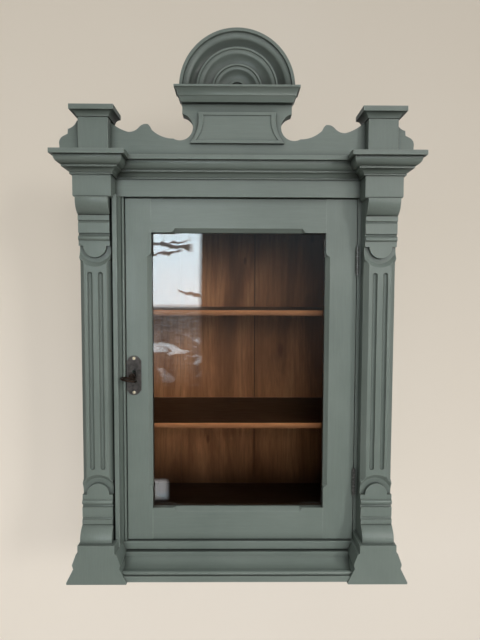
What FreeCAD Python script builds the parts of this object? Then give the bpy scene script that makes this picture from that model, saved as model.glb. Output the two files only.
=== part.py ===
import FreeCAD, Part
import math
import os
from types import SimpleNamespace

import Sketcher

# A painted wall cabinet with one glazed door.
# The wall is the plane y = 0 and the front faces -Y. Heights are measured from the soles of the feet.
# The door's face is the plane from which the front ornaments project towards -Y.

SIZES = {
    # Carcass
    "carcass_width": 482.0,
    "carcass_depth": 237.5,
    "panel_thickness": 14.0,
    "back_thickness": 8.0,
    "back_bevel": 0.6,
    "frame_thickness": 20.0,
    "left_stile_width": 66.6,
    "right_stile_width": 56.8,
    "floor_height": 43.0,
    "shelf_thickness": 8.5,
    "shelf_setback": 36.0,
    "housing_depth": 5.0,
    "fascia_thickness": 6.0,
    "fascia_clearance": 1.0,
    # Door
    "door_height": 534.8,
    "lock_gap": 1.5,
    "hinge_gap": 1.2,
    "sill_gap": 1.2,
    "head_gap": 1.2,
    "lock_stile_width": 39.0,
    "hinge_stile_width": 47.2,
    "top_rail_width": 51.3,
    "bottom_rail_width": 50.5,
    "glass_setback": 10.0,
    "glass_thickness": 3.0,
    "rebate_width": 6.5,
    "door_chamfer": 6.5,
    "chamfer_stop": 30.0,
    "chamfer_run": 6.5,
    # Moulded strip beside the lock edge
    "strip_width": 13.6,
    "strip_projection": 25.0,
    # Columns at both ends of the front
    "column_inset": 28.0,
    "pilaster_width": 47.4,
    "pilaster_projection": 25.0,
    "pilaster_chamfer": 7.0,
    "pilaster_chamfer_stop": 14.0,
    "pilaster_chamfer_run": 8.0,
    "flute_radius": 3.75,
    "flute_spacing": 15.8,
    "flute_margin": 38.5,
    "crescent_radius": 31.0,
    "crescent_slope": 6.5,
    "tongue_radius": 17.0,
    "tongue_thickness": 6.0,
    "console_roll": 25.0,
    "console_fillet": 7.0,
    "console_groove": 4.0,
    "console_band": 14.5,
    "console_bead": 7.5,
    "console_plate": 7.5,
    "roll_projection": 40.0,
    "roll_undercut": 25.5,
    "fillet_projection": 28.0,
    "band_projection": 26.5,
    "bead_projection": 24.5,
    # Feet and base
    "foot_inset": 29.5,
    "foot_half_width": 45.2,
    "foot_height": 60.0,
    "foot_drop": 3.0,
    "foot_projection": 46.0,
    "base_height": 28.5,
    "base_gap": 1.8,
    "base_projection": 44.0,
    "base_side_projection": 15.5,
    # Frieze and cornice
    "frieze_height": 49.4,
    "frieze_projection": 8.0,
    "block_width": 56.0,
    "block_projection": 29.0,
    "block_drop": 6.2,
    "block_bevel": 1.5,
    "cornice_height": 23.6,
    "cornice_projection": 25.0,
    "deck_thickness": 6.8,
    # Crest
    "crest_inset": 3.0,
    "crest_height": 77.3,
    "crest_thickness": 20.0,
    "crest_setback": 2.0,
    "crest_shift": 2.2,
    "plate_half_width": 69.8,
    "plate_height": 45.0,
    "plate_rise": 19.2,
    "plate_thickness": 5.0,
    "plate_border": 4.5,
    "plate_recess": 1.5,
    "cap_half_width": 91.6,
    "cap_height": 21.1,
    "cap_projection": 36.0,
    "cap_overhang": 10.0,
    "lunette_radius": 85.0,
    "lunette_thickness": 22.0,
    "lunette_projection": 25.0,
    "lunette_relief": 13.0,
    "tower_inset": 52.5,
    "tower_width": 43.6,
    "tower_height": 52.1,
    "tower_projection": 35.0,
    "tower_cap_width": 63.7,
    "tower_cap_height": 14.4,
    "tower_cap_projection": 45.0,
    # Hinges
    "hinge_height": 41.0,
    "hinge_inset": 94.0,
    "leaf_width": 15.0,
    "leaf_thickness": 1.4,
    "leaf_spacing": 0.4,
    "knuckle_radius": 2.6,
    "knuckle_clearance": 0.3,
    "hinge_pin_radius": 1.2,
    "hinge_pin_fit": 0.05,
    "hinge_pin_head": 1.2,
    "hinge_pin_head_radius": 2.2,
    # Lock, key and escutcheon
    "key_height": 306.3,
    "key_inset": 11.3,
    "keyhole_radius": 3.3,
    "keyhole_slot_width": 3.8,
    "keyhole_slot_rise": 5.8,
    "keyhole_end_radius": 3.4,
    "case_width": 29.0,
    "case_setback": 1.9,
    "case_below": 26.0,
    "case_above": 22.0,
    "case_depth": 12.0,
    "case_wall": 1.2,
    "bolt_length": 27.0,
    "bolt_near": 5.2,
    "bolt_far": 14.2,
    "bolt_setback": 3.5,
    "bolt_thickness": 5.0,
    "bolt_travel": 8.0,
    "bolt_clearance": 0.3,
    "talon_height": 2.9,
    "talon_lead": 6.0,
    "stud_radius": 1.2,
    "stud_offset": 4.0,
    "stud_drop": 11.2,
    "post_radius": 1.2,
    "post_length": 15.0,
    "post_fit": 0.07,
    "shank_radius": 2.6,
    "shank_bore_depth": 16.0,
    "shank_reach": 30.0,
    "collar_radius": 4.2,
    "collar_length": 2.6,
    "collar_setback": 13.0,
    "bit_radius": 7.5,
    "bit_width": 6.5,
    "bit_setback": 23.0,
    "bit_thickness": 2.0,
    "bow_half_width": 13.2,
    "bow_half_length": 11.6,
    "bow_bar": 3.4,
    "bow_setback": 27.0,
    "bow_rounding": 1.5,
    "plate_pin_radius": 2.6,
    "plate_pin_dome": 1.6,
    "plate_pin_shank": 1.1,
    "plate_pin_length": 8.0,
    "plate_pin_fit": 0.05,
    "plate_pin_inset": 4.2,
    "escutcheon_width": 22.4,
    "escutcheon_length": 62.0,
    "escutcheon_thickness": 1.2,
    "escutcheon_shoulder": 1.4,
    "escutcheon_end_rise": 7.2,
    # Hanger plates
    "hanger_width": 28.0,
    "hanger_length": 64.0,
    "hanger_thickness": 2.5,
    "hanger_rise": 30.0,
    "hanger_hole_radius": 3.25,
    "hanger_inset": 29.0,
    # One overrun for every cut
    "overrun": 5.0,
}

# The key hangs at this angle in the photographed pose.
KEY_TILT_DEGREES = 12.0

# A quarter and a half turn as arcs: the rise of the arc over half its chord.
QUARTER_SHARE = math.tan(math.pi / 8)
HALF_SHARE = 1.0

# Outlines as (across share, up share, arc share) corners, anticlockwise, hollow arcs negative.
CORNICE_SHARES = [
    (0.00, 0.00, 0.00),
    (0.12, 0.00, 0.00),
    (0.12, 0.08, 0.00),
    (0.09, 0.09, -0.25),
    (0.40, 0.36, 0.00),
    (0.46, 0.36, 0.00),
    (0.46, 0.48, 0.00),
    (0.50, 0.49, 0.34),
    (0.80, 0.92, 0.00),
    (0.80, 1.00, 0.00),
    (0.00, 1.00, 0.00),
]
BASE_SHARES = [
    (0.00, 0.00, 0.00),
    (1.00, 0.00, 0.00),
    (1.00, 0.31, 0.00),
    (0.94, 0.33, 0.60),
    (0.94, 0.50, 0.00),
    (0.89, 0.52, -0.26),
    (0.24, 0.76, 0.00),
    (0.24, 1.00, 0.00),
    (0.00, 1.00, 0.00),
]
STRIP_SHARES = [
    (0.00, 1.00, 0.00),
    (0.56, 1.00, -0.22),
    (0.67, 0.20, 0.00),
    (0.69, 0.10, 0.85),
    (1.00, 0.10, 0.00),
    (1.00, 0.00, 0.00),
    (0.00, 0.00, 0.00),
]
FOOT_SHARES = [
    (1.000, 0.00, 0.00),
    (1.000, 0.05, 0.00),
    (0.765, 0.40, 0.00),
    (0.803, 0.50, 0.00),
    (0.675, 0.767, 0.00),
    (0.612, 0.783, 0.00),
    (0.612, 1.00, 0.00),
]
CREST_SHARES = [
    (1.000, 0.000, 0.00),
    (1.000, 0.210, 0.34),
    (0.980, 0.383, 0.00),
    (0.953, 0.428, 0.00),
    (0.951, 0.519, -0.25),
    (0.900, 0.674, 0.00),
    (0.719, 0.674, -0.13),
    (0.614, 0.470, -0.22),
    (0.556, 0.545, 0.18),
    (0.520, 0.621, 0.00),
    (0.504, 0.621, 0.20),
    (0.483, 0.520, -0.20),
    (0.359, 0.348, -1.17),
    (0.308, 0.815, 0.00),
    (0.308, 1.000, 0.00),
]
PLATE_SHARES = [
    (1.000, 0.00, -0.22),
    (0.825, 1.00, 0.00),
]
LUNETTE_SHARES = [
    (0.000, 0.70, 0.28),
    (0.110, 0.90, 0.00),
    (0.130, 0.95, 0.00),
    (0.140, 0.76, 0.00),
    (0.170, 0.76, 0.00),
    (0.182, 1.00, -0.18),
    (0.340, 0.62, 0.14),
    (0.396, 0.58, 0.00),
    (0.406, 0.46, 0.00),
    (0.432, 0.46, 0.00),
    (0.444, 0.98, -0.18),
    (0.600, 0.52, 0.14),
    (0.668, 0.46, 0.00),
    (0.678, 0.34, 0.00),
    (0.706, 0.34, 0.00),
    (0.718, 0.92, -0.20),
    (0.840, 0.42, 0.16),
    (0.936, 0.26, 0.00),
    (0.948, 0.00, 0.00),
    (1.000, 0.00, 0.00),
]
# A four-centred oval, as shares of its two half axes.
OVAL_SHARES = [
    (0.833, -0.542, 0.300),
    (0.833, 0.542, 0.450),
    (-0.833, 0.542, 0.300),
    (-0.833, -0.542, 0.450),
]
# Cap profiles from the foot up: shares of the overhang and of the height.
CAP_SHARES = [
    (0.00, 0.00, 0.00),
    (0.38, 0.34, 0.00),
    (0.48, 0.37, -0.20),
    (0.90, 0.86, 0.00),
    (1.00, 0.86, 0.00),
    (1.00, 1.00, 0.00),
]
TOWER_CAP_SHARES = [
    (0.00, 0.00, -0.36),
    (0.85, 0.51, 0.00),
    (1.00, 0.51, 0.00),
    (1.00, 1.00, 0.00),
]
TOWER_FOOT_SHARE = 0.15
ROLL_SHARE = 0.34
GROOVE_SHARE = 0.85
BEAD_SHARE = 0.85
STOP_SHARE = 0.20
ESCUTCHEON_END_SHARE = 0.72
BACK_JOINT_SHARES = (-0.507, 0.154)
SHELF_SHARES = {"lower": 0.312, "upper": 0.636}
KNUCKLES = 3


class Length:
    """A size in millimetres, with the expression of sheet cells that gives it."""

    def __init__(self, value, text):
        self.value = value
        self.text = text

    def __add__(self, other):
        other = as_length(other)
        return Length(self.value + other.value, f"({self.text} + {other.text})")

    def __sub__(self, other):
        other = as_length(other)
        return Length(self.value - other.value, f"({self.text} - {other.text})")

    def __mul__(self, share):
        return Length(self.value * share, f"({self.text} * {float(share):.6f})")

    def __truediv__(self, parts):
        return Length(self.value / parts, f"({self.text} / {float(parts):.6f})")

    def __neg__(self):
        return Length(-self.value, f"(-{self.text})")


def as_length(amount):
    """Zero may stand bare where a size is expected."""
    return amount if isinstance(amount, Length) else Length(float(amount), f"{float(amount):.6f}")


doc = FreeCAD.newDocument("WallCabinet")
sheet = doc.addObject("Spreadsheet::Sheet", "Sizes")
for row, (name, size) in enumerate(SIZES.items(), start=1):
    sheet.set(f"A{row}", name)
    sheet.set(f"B{row}", str(size))
    sheet.setAlias(f"B{row}", name)
doc.recompute()
S = SimpleNamespace(**{name: Length(size, f"Sizes.{name}") for name, size in SIZES.items()})
nodes = []


# Outlines

def scaled(shares, across, up):
    """An outline of shares at its two real sizes."""
    return [(across * x, up * z, arc) for x, z, arc in shares]


def shifted(outline, across, up=0):
    return [(x + across, z + up, arc) for x, z, arc in outline]


def mirrored(outline):
    """The outline on the other side of zero, still anticlockwise."""
    count = len(outline)
    return [(-outline[-i][0], outline[-i][1], outline[-i - 1][2]) for i in range(count)]


def both_sides(half):
    """The right half of an outline, from its lowest corner up, and its mirror image."""
    left = []
    for index in range(len(half) - 1, -1, -1):
        across, up, _ = half[index]
        arc = half[index - 1][2] if index else 0
        left.append((-across, up, arc))
    return half + left


def rectangle(low_across, low_up, high_across, high_up):
    return [
        (low_across, low_up, 0),
        (high_across, low_up, 0),
        (high_across, high_up, 0),
        (low_across, high_up, 0),
    ]


# Sketches

def bind(item, name, amount):
    item.setExpression(name, as_length(amount).text)


def bind_distance(sketch, geometry, point, kind, amount):
    """Hold a point of a sketch at its distance from the sketch's origin, across or up."""
    amount = as_length(amount)
    number = sketch.addConstraint(Sketcher.Constraint(kind, -1, 1, geometry, point, amount.value))
    sketch.setExpression(f"Constraints[{number}]", amount.text)


def bind_point(sketch, geometry, point, across, up):
    bind_distance(sketch, geometry, point, "DistanceX", across)
    bind_distance(sketch, geometry, point, "DistanceY", up)


def draw_side(sketch, start, end, arc):
    """Draw one side of an outline and give its number and its two end points."""
    first = FreeCAD.Vector(start[0].value, start[1].value, 0)
    last = FreeCAD.Vector(end[0].value, end[1].value, 0)
    if not arc:
        return sketch.addGeometry(Part.LineSegment(first, last)), 1, 2
    lean = (1 - arc * arc) / (4 * arc)
    across = (start[0] + end[0]) / 2 - (end[1] - start[1]) * lean
    up = (start[1] + end[1]) / 2 + (end[0] - start[0]) * lean
    centre = FreeCAD.Vector(across.value, up.value, 0)
    begin, finish = (first, last) if arc > 0 else (last, first)
    angles = [math.atan2(p.y - centre.y, p.x - centre.x) for p in (begin, finish)]
    circle = Part.Circle(centre, FreeCAD.Vector(0, 0, 1), (first - centre).Length)
    geometry = sketch.addGeometry(Part.ArcOfCircle(circle, *angles))
    flat = abs(last.x - first.x) >= abs(last.y - first.y)
    bind_distance(sketch, geometry, 3, "DistanceY" if flat else "DistanceX", up if flat else across)
    return (geometry, 1, 2) if arc > 0 else (geometry, 2, 1)


def draw_outline(sketch, outline):
    """Draw a closed outline whose corners and arcs are bound to the sheet."""
    corners = [(as_length(x), as_length(z)) for x, z, _ in outline]
    sides = []
    for index, (_, _, arc) in enumerate(outline):
        following = corners[(index + 1) % len(corners)]
        sides.append(draw_side(sketch, corners[index], following, arc))
    for index, (geometry, start, _) in enumerate(sides):
        previous, _, previous_end = sides[index - 1]
        sketch.addConstraint(Sketcher.Constraint("Coincident", previous, previous_end, geometry, start))
        bind_point(sketch, geometry, start, *corners[index])


def draw_circle(sketch, across, up, radius):
    centre = FreeCAD.Vector(as_length(across).value, as_length(up).value, 0)
    geometry = sketch.addGeometry(Part.Circle(centre, FreeCAD.Vector(0, 0, 1), radius.value))
    number = sketch.addConstraint(Sketcher.Constraint("Radius", geometry, radius.value))
    sketch.setExpression(f"Constraints[{number}]", radius.text)
    bind_point(sketch, geometry, 3, across, up)


def new_sketch(body, plane, outlines=(), circles=(), turn=None, offset=(0, 0, 0)):
    """A sketch on one of the body's own planes, turned about the plane's upright and set off from it."""
    sketch = body.newObject("Sketcher::SketchObject", f"{body.Label}_sketch")
    support = [item for item in body.Origin.OriginFeatures if item.Role == plane]
    sketch.AttachmentSupport = [(support[0], "")]
    sketch.MapMode = "FlatFace"
    if turn is not None:
        sketch.AttachmentOffset = FreeCAD.Placement(
            FreeCAD.Vector(), FreeCAD.Rotation(FreeCAD.Vector(0, 1, 0), turn))
    for axis, amount in zip("xyz", offset):
        bind(sketch, f"AttachmentOffset.Base.{axis}", amount)
    for outline in outlines:
        draw_outline(sketch, outline)
    for circle in circles:
        draw_circle(sketch, *circle)
    return sketch


# Solids

def place(item, x, y, z, axis=(0, 0, 1), degrees=0):
    """Set an object in the cabinet's frame, with its position bound to the sheet."""
    spot = [as_length(amount) for amount in (x, y, z)]
    turn = FreeCAD.Rotation(FreeCAD.Vector(*axis), degrees)
    item.Placement = FreeCAD.Placement(FreeCAD.Vector(*[amount.value for amount in spot]), turn)
    for name, amount in zip("xyz", spot):
        bind(item, f"Placement.Base.{name}", amount)
    return item


def node(item):
    """Count an object among the pieces that are written out."""
    nodes.append(item)
    return item


def new_body(label):
    return doc.addObject("PartDesign::Body", label)


def pad(body, sketch, length, symmetric=False):
    feature = body.newObject("PartDesign::Pad", f"{body.Label}_pad")
    feature.Profile = sketch
    feature.SideType = "Symmetric" if symmetric else "One side"
    bind(feature, "Length", length)
    return feature


def pocket(body, sketch, depth=None):
    """Cut a sketch into the body to a depth, or right through on both sides."""
    feature = body.newObject("PartDesign::Pocket", f"{body.Label}_pocket")
    feature.Profile = sketch
    if depth is None:
        feature.SideType = "Symmetric"
        feature.Type = "ThroughAll"
    else:
        bind(feature, "Length", depth)
    return feature


def turned(body, sketch, kind="PartDesign::Revolution", degrees=360):
    """Turn a sketch about its upright axis, adding or cutting."""
    feature = body.newObject(kind, f"{body.Label}_turning")
    feature.Profile = sketch
    feature.ReferenceAxis = (sketch, ["V_Axis"])
    feature.Angle = degrees
    return feature


def block(label, low, high):
    """A squared board between its lowest and highest corners."""
    item = doc.addObject("Part::Box", label)
    sides = [as_length(far) - near for near, far in zip(low, high)]
    for name, side in zip(("Length", "Width", "Height"), sides):
        bind(item, name, side)
    return place(item, *low)


def rod(label, start, radius, length, axis=(0, 0, 1), degrees=0):
    """A cylinder from its start along +Z, or along the direction that the turn gives."""
    item = doc.addObject("Part::Cylinder", label)
    bind(item, "Radius", radius)
    bind(item, "Height", length)
    return place(item, *start, axis, degrees)


def cut(label, base, tools):
    item = doc.addObject("Part::Cut", label)
    item.Base = base
    item.Tool = tools[0] if len(tools) == 1 else fuse(f"{label}_cutters", tools)
    return item


def fuse(label, members):
    item = doc.addObject("Part::MultiFuse", label)
    item.Shapes = members
    return item


def common(label, first, second):
    item = doc.addObject("Part::Common", label)
    item.Base = first
    item.Tool = second
    return item


def group(label, members):
    """Several equal solids that share one node."""
    item = doc.addObject("Part::Compound", label)
    item.Links = members
    return item


def on_side(side, outline):
    """An outline drawn for the right of the cabinet, on the named side."""
    return outline if side == "right" else mirrored(outline)


def hand(side, amount):
    return amount if side == "right" else -amount


SIDES = ("left", "right")

# Places that several pieces share

face = -S.carcass_depth
half = S.carcass_width / 2
inner_half = half - S.panel_thickness
frame_back = face + S.frame_thickness
stile_left_edge = S.left_stile_width - half
stile_right_edge = half - S.right_stile_width
lock_edge = stile_left_edge + S.lock_gap
hinge_edge = stile_right_edge - S.hinge_gap
door_bottom = S.floor_height + S.sill_gap
door_top = door_bottom + S.door_height
frieze_bottom = door_top + S.head_gap
deck_under = frieze_bottom + S.frieze_height
deck_top = deck_under + S.deck_thickness
glass_left = lock_edge + S.lock_stile_width
glass_right = hinge_edge - S.hinge_stile_width
glass_bottom = door_bottom + S.bottom_rail_width
glass_top = door_top - S.top_rail_width
cornice_bottom = deck_under - S.cornice_height
frieze_face = face - S.frieze_projection
block_face = frieze_face - S.block_projection
block_inner = half - S.block_width
block_bottom = frieze_bottom - S.block_drop
column_centre = half - S.column_inset
foot_centre = half - S.foot_inset
console_height = (S.console_roll + S.console_fillet + S.console_groove * 2 + S.console_band
                  + S.console_bead + S.console_plate)
foot_top = S.foot_height - S.foot_drop
shaft_bottom = foot_top + console_height
shaft_height = block_bottom - console_height - shaft_bottom
crest_back = face + S.crest_setback
crest_face = crest_back - S.crest_thickness
crest_half_width = half + S.cornice_projection - S.crest_inset
crest_top = deck_top + S.crest_height
cap_top = crest_top + S.cap_height
tower_centre = crest_half_width - S.tower_inset
tower_top = deck_top + S.tower_height
key_across = lock_edge + S.key_inset
hinge_across = hinge_edge + S.hinge_gap / 2
hinge_depth = face - S.knuckle_radius - S.knuckle_clearance
hinge_centres = (door_top - S.hinge_inset, door_bottom + S.hinge_inset)


# Carcass

def carcass_panels():
    """Sides with housings for the shelves, top, bottom and shelves."""
    back = -S.back_thickness
    shelves = []
    clear_height = deck_under - S.panel_thickness - S.floor_height
    reach = inner_half + S.housing_depth
    for name, share in SHELF_SHARES.items():
        height = S.floor_height + clear_height * share
        low = (-reach, face + S.shelf_setback, height - S.shelf_thickness)
        shelves.append(node(block(f"{name}_shelf", low, (reach, back, height))))
    for side in SIDES:
        near, far = sorted((hand(side, inner_half), hand(side, half)), key=lambda edge: edge.value)
        board = block(f"{side}_side_board", (near, frame_back, 0), (far, 0, deck_under))
        node(cut(f"{side}_side_panel", board, shelves))
    for name, top in (("top_panel", deck_under), ("bottom_panel", S.floor_height)):
        low = (-inner_half, frame_back, top - S.panel_thickness)
        node(block(name, low, (inner_half, back, top)))


def back_boards(hangers):
    """Three upright boards with bevelled joints, let in for the hanger plates."""
    joints = [inner_half * share for share in BACK_JOINT_SHARES]
    edges = (-inner_half, *joints, inner_half)
    names = ("back_board_left", "back_board_middle", "back_board_right")
    for name, left, right in zip(names, edges, edges[1:]):
        section = [
            (left + S.back_bevel, -S.back_thickness, 0),
            (right - S.back_bevel, -S.back_thickness, 0),
            (right, S.back_bevel - S.back_thickness, 0),
            (right, 0, 0),
            (left, 0, 0),
            (left, S.back_bevel - S.back_thickness, 0),
        ]
        board = new_body(name if name == "back_board_middle" else f"{name}_blank")
        pad(board, new_sketch(board, "XY_Plane", [section]), deck_under)
        if name in hangers:
            board = cut(name, board, [hangers[name]])
        node(board)


def hanger_plates():
    """Two steel straps, flush with the back, whose holes stand above the deck."""
    plates = {}
    radius = S.hanger_width / 2
    top = deck_top + S.hanger_rise
    bottom = top - S.hanger_length
    for side in SIDES:
        centre = hand(side, half - S.hanger_inset)
        outline = [
            (centre - radius, bottom, 0),
            (centre + radius, bottom, 0),
            (centre + radius, top - radius, HALF_SHARE),
            (centre - radius, top - radius, 0),
        ]
        plate = new_body(f"hanger_plate_{side}")
        hole = (centre, top - radius, S.hanger_hole_radius)
        pad(plate, new_sketch(plate, "XZ_Plane", [outline], [hole]), S.hanger_thickness)
        plates[f"back_board_{side}"] = plate
    node(group("hanger_plates", list(plates.values())))
    return plates


def face_frame(feet, blocks, hinge_recesses):
    """Stiles, frieze rail and bottom rail round the door, and the moulded strip."""
    node(block("face_stile_left", (-half, face, 0), (stile_left_edge, frame_back, frieze_bottom)))
    blank = block("face_stile_right_blank", (stile_right_edge, face, 0), (half, frame_back, frieze_bottom))
    node(cut("face_stile_right", blank, hinge_recesses))
    node(block("frieze_rail", (-half, frieze_face, frieze_bottom), (half, frame_back, deck_under)))
    core = block("bottom_rail_core", (stile_left_edge, face, 0),
                 (stile_right_edge, frame_back, S.floor_height))
    reach = column_centre - S.pilaster_width / 2 - S.fascia_clearance
    fascia = block("bottom_rail_fascia", (-reach, face - S.fascia_thickness, S.base_height + S.base_gap),
                   (reach, face, S.floor_height))
    node(cut("bottom_rail", fuse("bottom_rail_blank", [core, fascia]), feet))
    left = stile_left_edge - S.strip_width
    profile = scaled(STRIP_SHARES, S.strip_width, S.strip_projection)
    section = [(left + x, face - y, arc) for x, y, arc in profile]
    strip = new_body("lock_side_strip_run")
    pad(strip, new_sketch(strip, "XY_Plane", [section]), frieze_bottom - S.floor_height)
    place(strip, 0, 0, S.floor_height)
    node(cut("lock_side_strip", strip, feet + blocks))


# Columns

def stopped_chamfer(body, edge, turn, start, end, width, run):
    """Cut a chamfer along an upright front edge, with curved stops at both ends."""
    depth = width / math.sqrt(2)
    outline = [
        (-S.overrun, start, 0),
        (0, start, -STOP_SHARE),
        (depth, start + run, 0),
        (depth, end - run, -STOP_SHARE),
        (0, end, 0),
        (-S.overrun, end, 0),
    ]
    pocket(body, new_sketch(body, "XZ_Plane", [outline], turn=turn, offset=(edge, 0, 0)))


def pilaster(side):
    """A shaft with two round flutes, chamfered edges and a crescent recess at each end."""
    shaft = new_body(f"pilaster_{side}")
    reach = S.pilaster_width / 2
    section = rectangle(-reach, 0, reach, S.pilaster_projection)
    pad(shaft, new_sketch(shaft, "XY_Plane", [section]), shaft_height)
    crescent = [
        (0, 0, 0),
        (S.crescent_radius, 0, 0),
        (S.crescent_radius - S.crescent_slope, S.tongue_thickness, 0),
        (0, S.tongue_thickness, 0),
    ]
    for height in (0, shaft_height):
        sketch = new_sketch(shaft, "XY_Plane", [crescent], offset=(0, 0, height))
        turned(shaft, sketch, "PartDesign::Groove")
    for edge, turn in ((reach, 135), (-reach, 45)):
        stopped_chamfer(shaft, edge, turn, S.pilaster_chamfer_stop, shaft_height - S.pilaster_chamfer_stop,
                        S.pilaster_chamfer, S.pilaster_chamfer_run)
    end = shaft_height - S.flute_margin
    flute = [
        (0, S.flute_margin, QUARTER_SHARE),
        (S.flute_radius, S.flute_margin + S.flute_radius, 0),
        (S.flute_radius, end - S.flute_radius, QUARTER_SHARE),
        (0, end, 0),
    ]
    for offset in (S.flute_spacing / 2, -(S.flute_spacing / 2)):
        turned(shaft, new_sketch(shaft, "XZ_Plane", [flute], offset=(offset, 0, 0)), "PartDesign::Groove")
    node(place(shaft, hand(side, column_centre), face - S.pilaster_projection, shaft_bottom))


def console_section():
    """Roll, fillet, band and bead between hollow grooves, down to the plate."""
    fillet_top = -S.console_roll
    fillet_end = fillet_top - S.console_fillet
    band_top = fillet_end - S.console_groove
    band_end = band_top - S.console_band
    bead_top = band_end - S.console_groove
    bead_end = bead_top - S.console_bead
    return [
        (0, 0, 0),
        (-S.roll_projection, 0, ROLL_SHARE),
        (-S.roll_undercut, fillet_top, 0),
        (-S.fillet_projection, fillet_top, 0),
        (-S.fillet_projection, fillet_end, -GROOVE_SHARE),
        (-S.band_projection, band_top, 0),
        (-S.band_projection, band_end, -GROOVE_SHARE),
        (-S.bead_projection, bead_top, BEAD_SHARE),
        (-S.bead_projection, bead_end, 0),
        (-S.pilaster_projection, bead_end, 0),
        (-S.pilaster_projection, -console_height, 0),
        (0, -console_height, 0),
    ]


def console(side, level):
    """A console, whose round tongue lies in the shaft's recess; the lower one is upside down."""
    item = new_body(f"{level}_console_{side}")
    pad(item, new_sketch(item, "YZ_Plane", [console_section()]), S.pilaster_width)
    centre = S.pilaster_width / 2
    tongue = [
        (centre - S.tongue_radius, -console_height, HALF_SHARE),
        (centre + S.tongue_radius, -console_height, 0),
    ]
    floor = S.pilaster_projection - S.tongue_thickness
    pad(item, new_sketch(item, "XZ_Plane", [tongue], offset=(0, 0, floor)), S.tongue_thickness)
    if level == "upper":
        place(item, hand(side, column_centre) - centre, face, block_bottom)
    else:
        place(item, hand(side, column_centre) + centre, face, foot_top, (0, 1, 0), 180)
    node(item)


def foot(side):
    item = new_body(f"foot_block_{side}")
    outline = both_sides(scaled(FOOT_SHARES, S.foot_half_width, S.foot_height))
    pad(item, new_sketch(item, "XZ_Plane", [outline]), S.foot_projection)
    return node(place(item, hand(side, foot_centre), face, -S.foot_drop))


def base_mouldings(feet):
    """The front base moulding, scribed to the feet, and a return along each side."""
    run = new_body("base_moulding_run")
    section = mirrored(scaled(BASE_SHARES, S.base_projection, S.base_height))
    pad(run, new_sketch(run, "YZ_Plane", [section]), foot_centre * 2)
    place(run, -foot_centre, face, 0)
    node(cut("base_moulding", run, feet))
    for side in SIDES:
        item = new_body(f"base_return_{side}")
        section = on_side(side, scaled(BASE_SHARES, S.base_side_projection, S.base_height))
        pad(item, new_sketch(item, "XZ_Plane", [section]), S.carcass_depth)
        node(place(item, hand(side, half), 0, 0))


# Frieze and cornice

def frieze_block(side):
    """A block over the column, bevelled round its lower edge."""
    item = new_body(f"frieze_block_{side}")
    bevel = S.block_bevel
    outline = on_side(side, [
        (block_inner + bevel, block_bottom, 0),
        (half - bevel, block_bottom, 0),
        (half, block_bottom + bevel, 0),
        (half, deck_under, 0),
        (block_inner, deck_under, 0),
        (block_inner, block_bottom + bevel, 0),
    ])
    pad(item, new_sketch(item, "XZ_Plane", [outline]), S.block_projection)
    waste = [
        (-S.block_projection, block_bottom, 0),
        (bevel - S.block_projection, block_bottom, 0),
        (-S.block_projection, block_bottom + bevel, 0),
    ]
    pocket(item, new_sketch(item, "YZ_Plane", [waste]))
    return node(place(item, 0, frieze_face, 0))


def cornice_run(label, plane, section, length, x, y):
    """A straight run of the cornice section, longer than the piece that is cut from it."""
    run = new_body(label)
    pad(run, new_sketch(run, plane, [section]), length)
    return place(run, x, y, cornice_bottom)


def mitred(label, run, plan):
    """A length of cornice: its run, cut to the mitred plan of the piece."""
    blank = new_body(f"{label}_plan")
    pad(blank, new_sketch(blank, "XY_Plane", [plan]), S.cornice_height)
    place(blank, 0, 0, cornice_bottom)
    return node(common(label, run, blank))


def cornice():
    """The breakfront cornice in seven mitred lengths, under its deck board."""
    out = S.cornice_projection
    section = scaled(CORNICE_SHARES, out, S.cornice_height)
    reach = half + out
    front = mirrored(section)
    centre_run = cornice_run("cornice_centre_run", "YZ_Plane", front, reach * 2, -reach, frieze_face)
    block_run = cornice_run("cornice_block_run", "YZ_Plane", front, reach * 2, -reach, block_face)
    centre_plan = both_sides([
        (block_inner - out, frieze_face - out, 0),
        (block_inner, frieze_face, 0),
    ])
    mitred("cornice_centre", centre_run, centre_plan)
    for side in SIDES:
        length = out - block_face
        outer_run = cornice_run(f"cornice_side_run_{side}", "XZ_Plane", on_side(side, section),
                                length, hand(side, half), 0)
        inner_run = cornice_run(f"cornice_inner_run_{side}", "XZ_Plane", on_side(side, front),
                                length, hand(side, block_inner), 0)
        mitred(f"cornice_side_{side}", outer_run, on_side(side, [
            (half, block_face, 0),
            (half + out, block_face - out, 0),
            (half + out, 0, 0),
            (half, 0, 0),
        ]))
        mitred(f"cornice_front_{side}", block_run, on_side(side, [
            (block_inner - out, block_face - out, 0),
            (half + out, block_face - out, 0),
            (half, block_face, 0),
            (block_inner, block_face, 0),
        ]))
        mitred(f"cornice_inner_{side}", inner_run, on_side(side, [
            (block_inner - out, block_face - out, 0),
            (block_inner, block_face, 0),
            (block_inner, frieze_face, 0),
            (block_inner - out, frieze_face - out, 0),
        ]))
    deck_plan = both_sides([
        (block_inner - out, frieze_face - out, 0),
        (block_inner - out, block_face - out, 0),
        (half + out, block_face - out, 0),
        (half + out, -S.hanger_thickness, 0),
    ])
    deck = new_body("cornice_deck")
    pad(deck, new_sketch(deck, "XY_Plane", [deck_plan]), S.deck_thickness)
    node(place(deck, 0, 0, deck_under))


# Crest

def crest_board():
    item = new_body("crest_board")
    outline = both_sides(scaled(CREST_SHARES, crest_half_width, S.crest_height))
    pad(item, new_sketch(item, "XZ_Plane", [outline]), S.crest_thickness)
    node(place(item, -S.crest_shift, crest_back, deck_top))


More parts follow.
